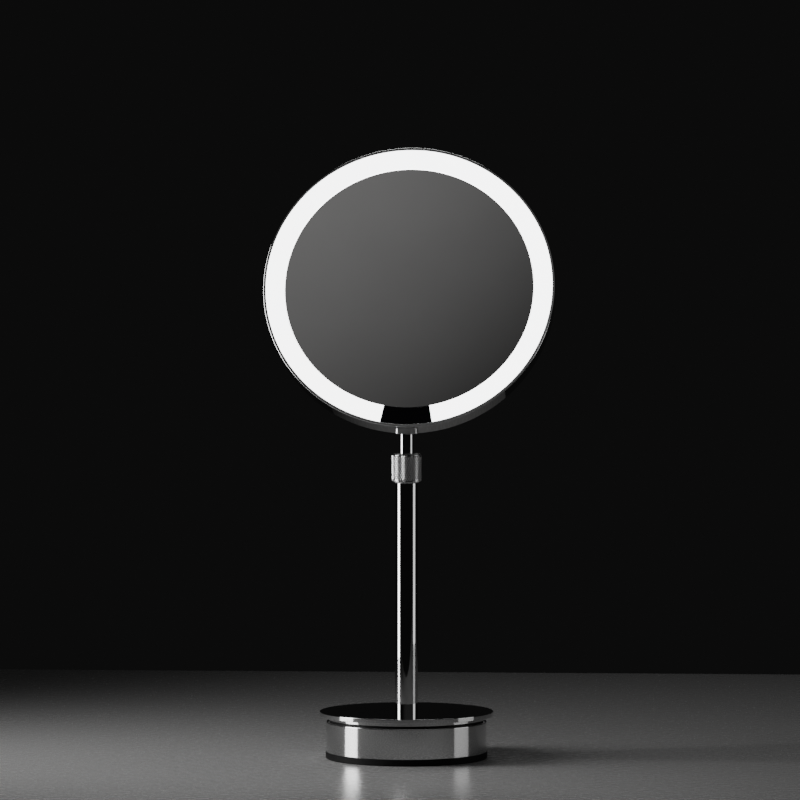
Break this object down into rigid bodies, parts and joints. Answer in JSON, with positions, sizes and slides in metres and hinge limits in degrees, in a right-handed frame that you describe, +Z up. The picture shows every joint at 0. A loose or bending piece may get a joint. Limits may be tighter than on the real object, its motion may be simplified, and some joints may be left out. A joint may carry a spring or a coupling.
{
  "type": "lighted vanity mirror",
  "caption": "Free-standing round lighted make-up mirror: tilting head with a lit ring and sensor window on a telescopic stem with a knurled collar, over a weighted round base.",
  "frame": {"origin": "centre of the rubber foot's underside, on the stem's axis", "axes": "+Z up along the stem, the mirror faces -Y, +X to the right as seen from the front"},
  "size_m": [0.2206, 0.1401, 0.4585],
  "materials": {
    "chrome": "polished chrome plating",
    "satin_chrome": "satin chrome plating",
    "knurled_chrome": "fine diamond knurl, chrome plated",
    "zinc_steel": "zinc-plated steel",
    "ballast_iron": "as cast, painted black",
    "brass": "turned brass",
    "foot_rubber": "matt black rubber",
    "foam": "adhesive foam",
    "lead_sleeve": "PVC-sleeved lead",
    "black_plastic": "moulded ABS",
    "white_plastic": "moulded ABS",
    "acetal": "turned acetal",
    "circuit_board": "glass-epoxy laminate with solder mask",
    "cell_wrap": "shrink-wrapped cell",
    "black_window": "gloss black, clear to infrared",
    "silver_cover": "ABS with a satin silver finish",
    "opal_diffuser": "opal acrylic, lit from behind",
    "led_lens": "phosphor under a clear lens",
    "mirror": "silvered glass"
  },
  "bodies": {
    "base": {"rubber_foot": "foot_rubber", "base_plate": "zinc_steel", "base_screws": "zinc_steel", "ballast_weight": "ballast_iron", "base_shell": "chrome", "spacer_ring": "black_plastic", "base_disc": "chrome", "battery_pad": "foam", "battery_pack": "cell_wrap", "board_spacers": "black_plastic", "control_board": "circuit_board", "charging_socket": "zinc_steel", "base_lead": "lead_sleeve", "stem_plug": "zinc_steel", "stem_washer": "zinc_steel", "stem_nut": "zinc_steel", "stem_tube": "chrome", "coiled_lead": "lead_sleeve", "collet_body": "satin_chrome"},
    "collar": {"clamp_collar": "knurled_chrome"},
    "bush": {"rod_bush": "acetal"},
    "rod": {"inner_rod": "chrome", "rod_end_cap": "brass", "snap_ring": "zinc_steel", "rod_lead": "lead_sleeve", "knuckle": "satin_chrome"},
    "head": {"head_band": "chrome", "diffuser_ring": "opal_diffuser", "sensor_window": "black_window", "mirror_glass": "mirror", "mirror_pad": "foam", "mirror_carrier": "white_plastic", "led_board": "circuit_board", "led_chips": "led_lens", "sensor_board": "circuit_board", "infrared_sensor": "black_window", "hinge_bracket": "zinc_steel", "hinge_pins": "zinc_steel", "friction_washers": "acetal", "bracket_screws": "zinc_steel", "driver_board": "circuit_board", "driver_parts": "black_plastic", "head_lead": "lead_sleeve", "rear_cover": "silver_cover", "cover_screws": "zinc_steel"}
  },
  "joints": [
    {"name": "height_slide", "type": "slide", "parent": "base", "child": "bush", "axis": [0, 0, 1], "range_m": [-0.01, 0.09], "deforming": ["coiled_lead"]},
    {"name": "head_swivel", "type": "hinge", "parent": "bush", "child": "rod", "pos_m": [0, 0, 0.2428], "axis": [0, 0, 1], "range_deg": [-180, 180]},
    {"name": "head_tilt", "type": "hinge", "parent": "rod", "child": "head", "pos_m": [0, 0, 0.2511], "axis": [1, 0, 0], "range_deg": [-7.6, 32.4]},
    {"name": "collar_turn", "type": "hinge", "parent": "base", "child": "collar", "pos_m": [0, 0, 0.2175], "axis": [0, 0, 1], "range_deg": [0, 180]}
  ]
}
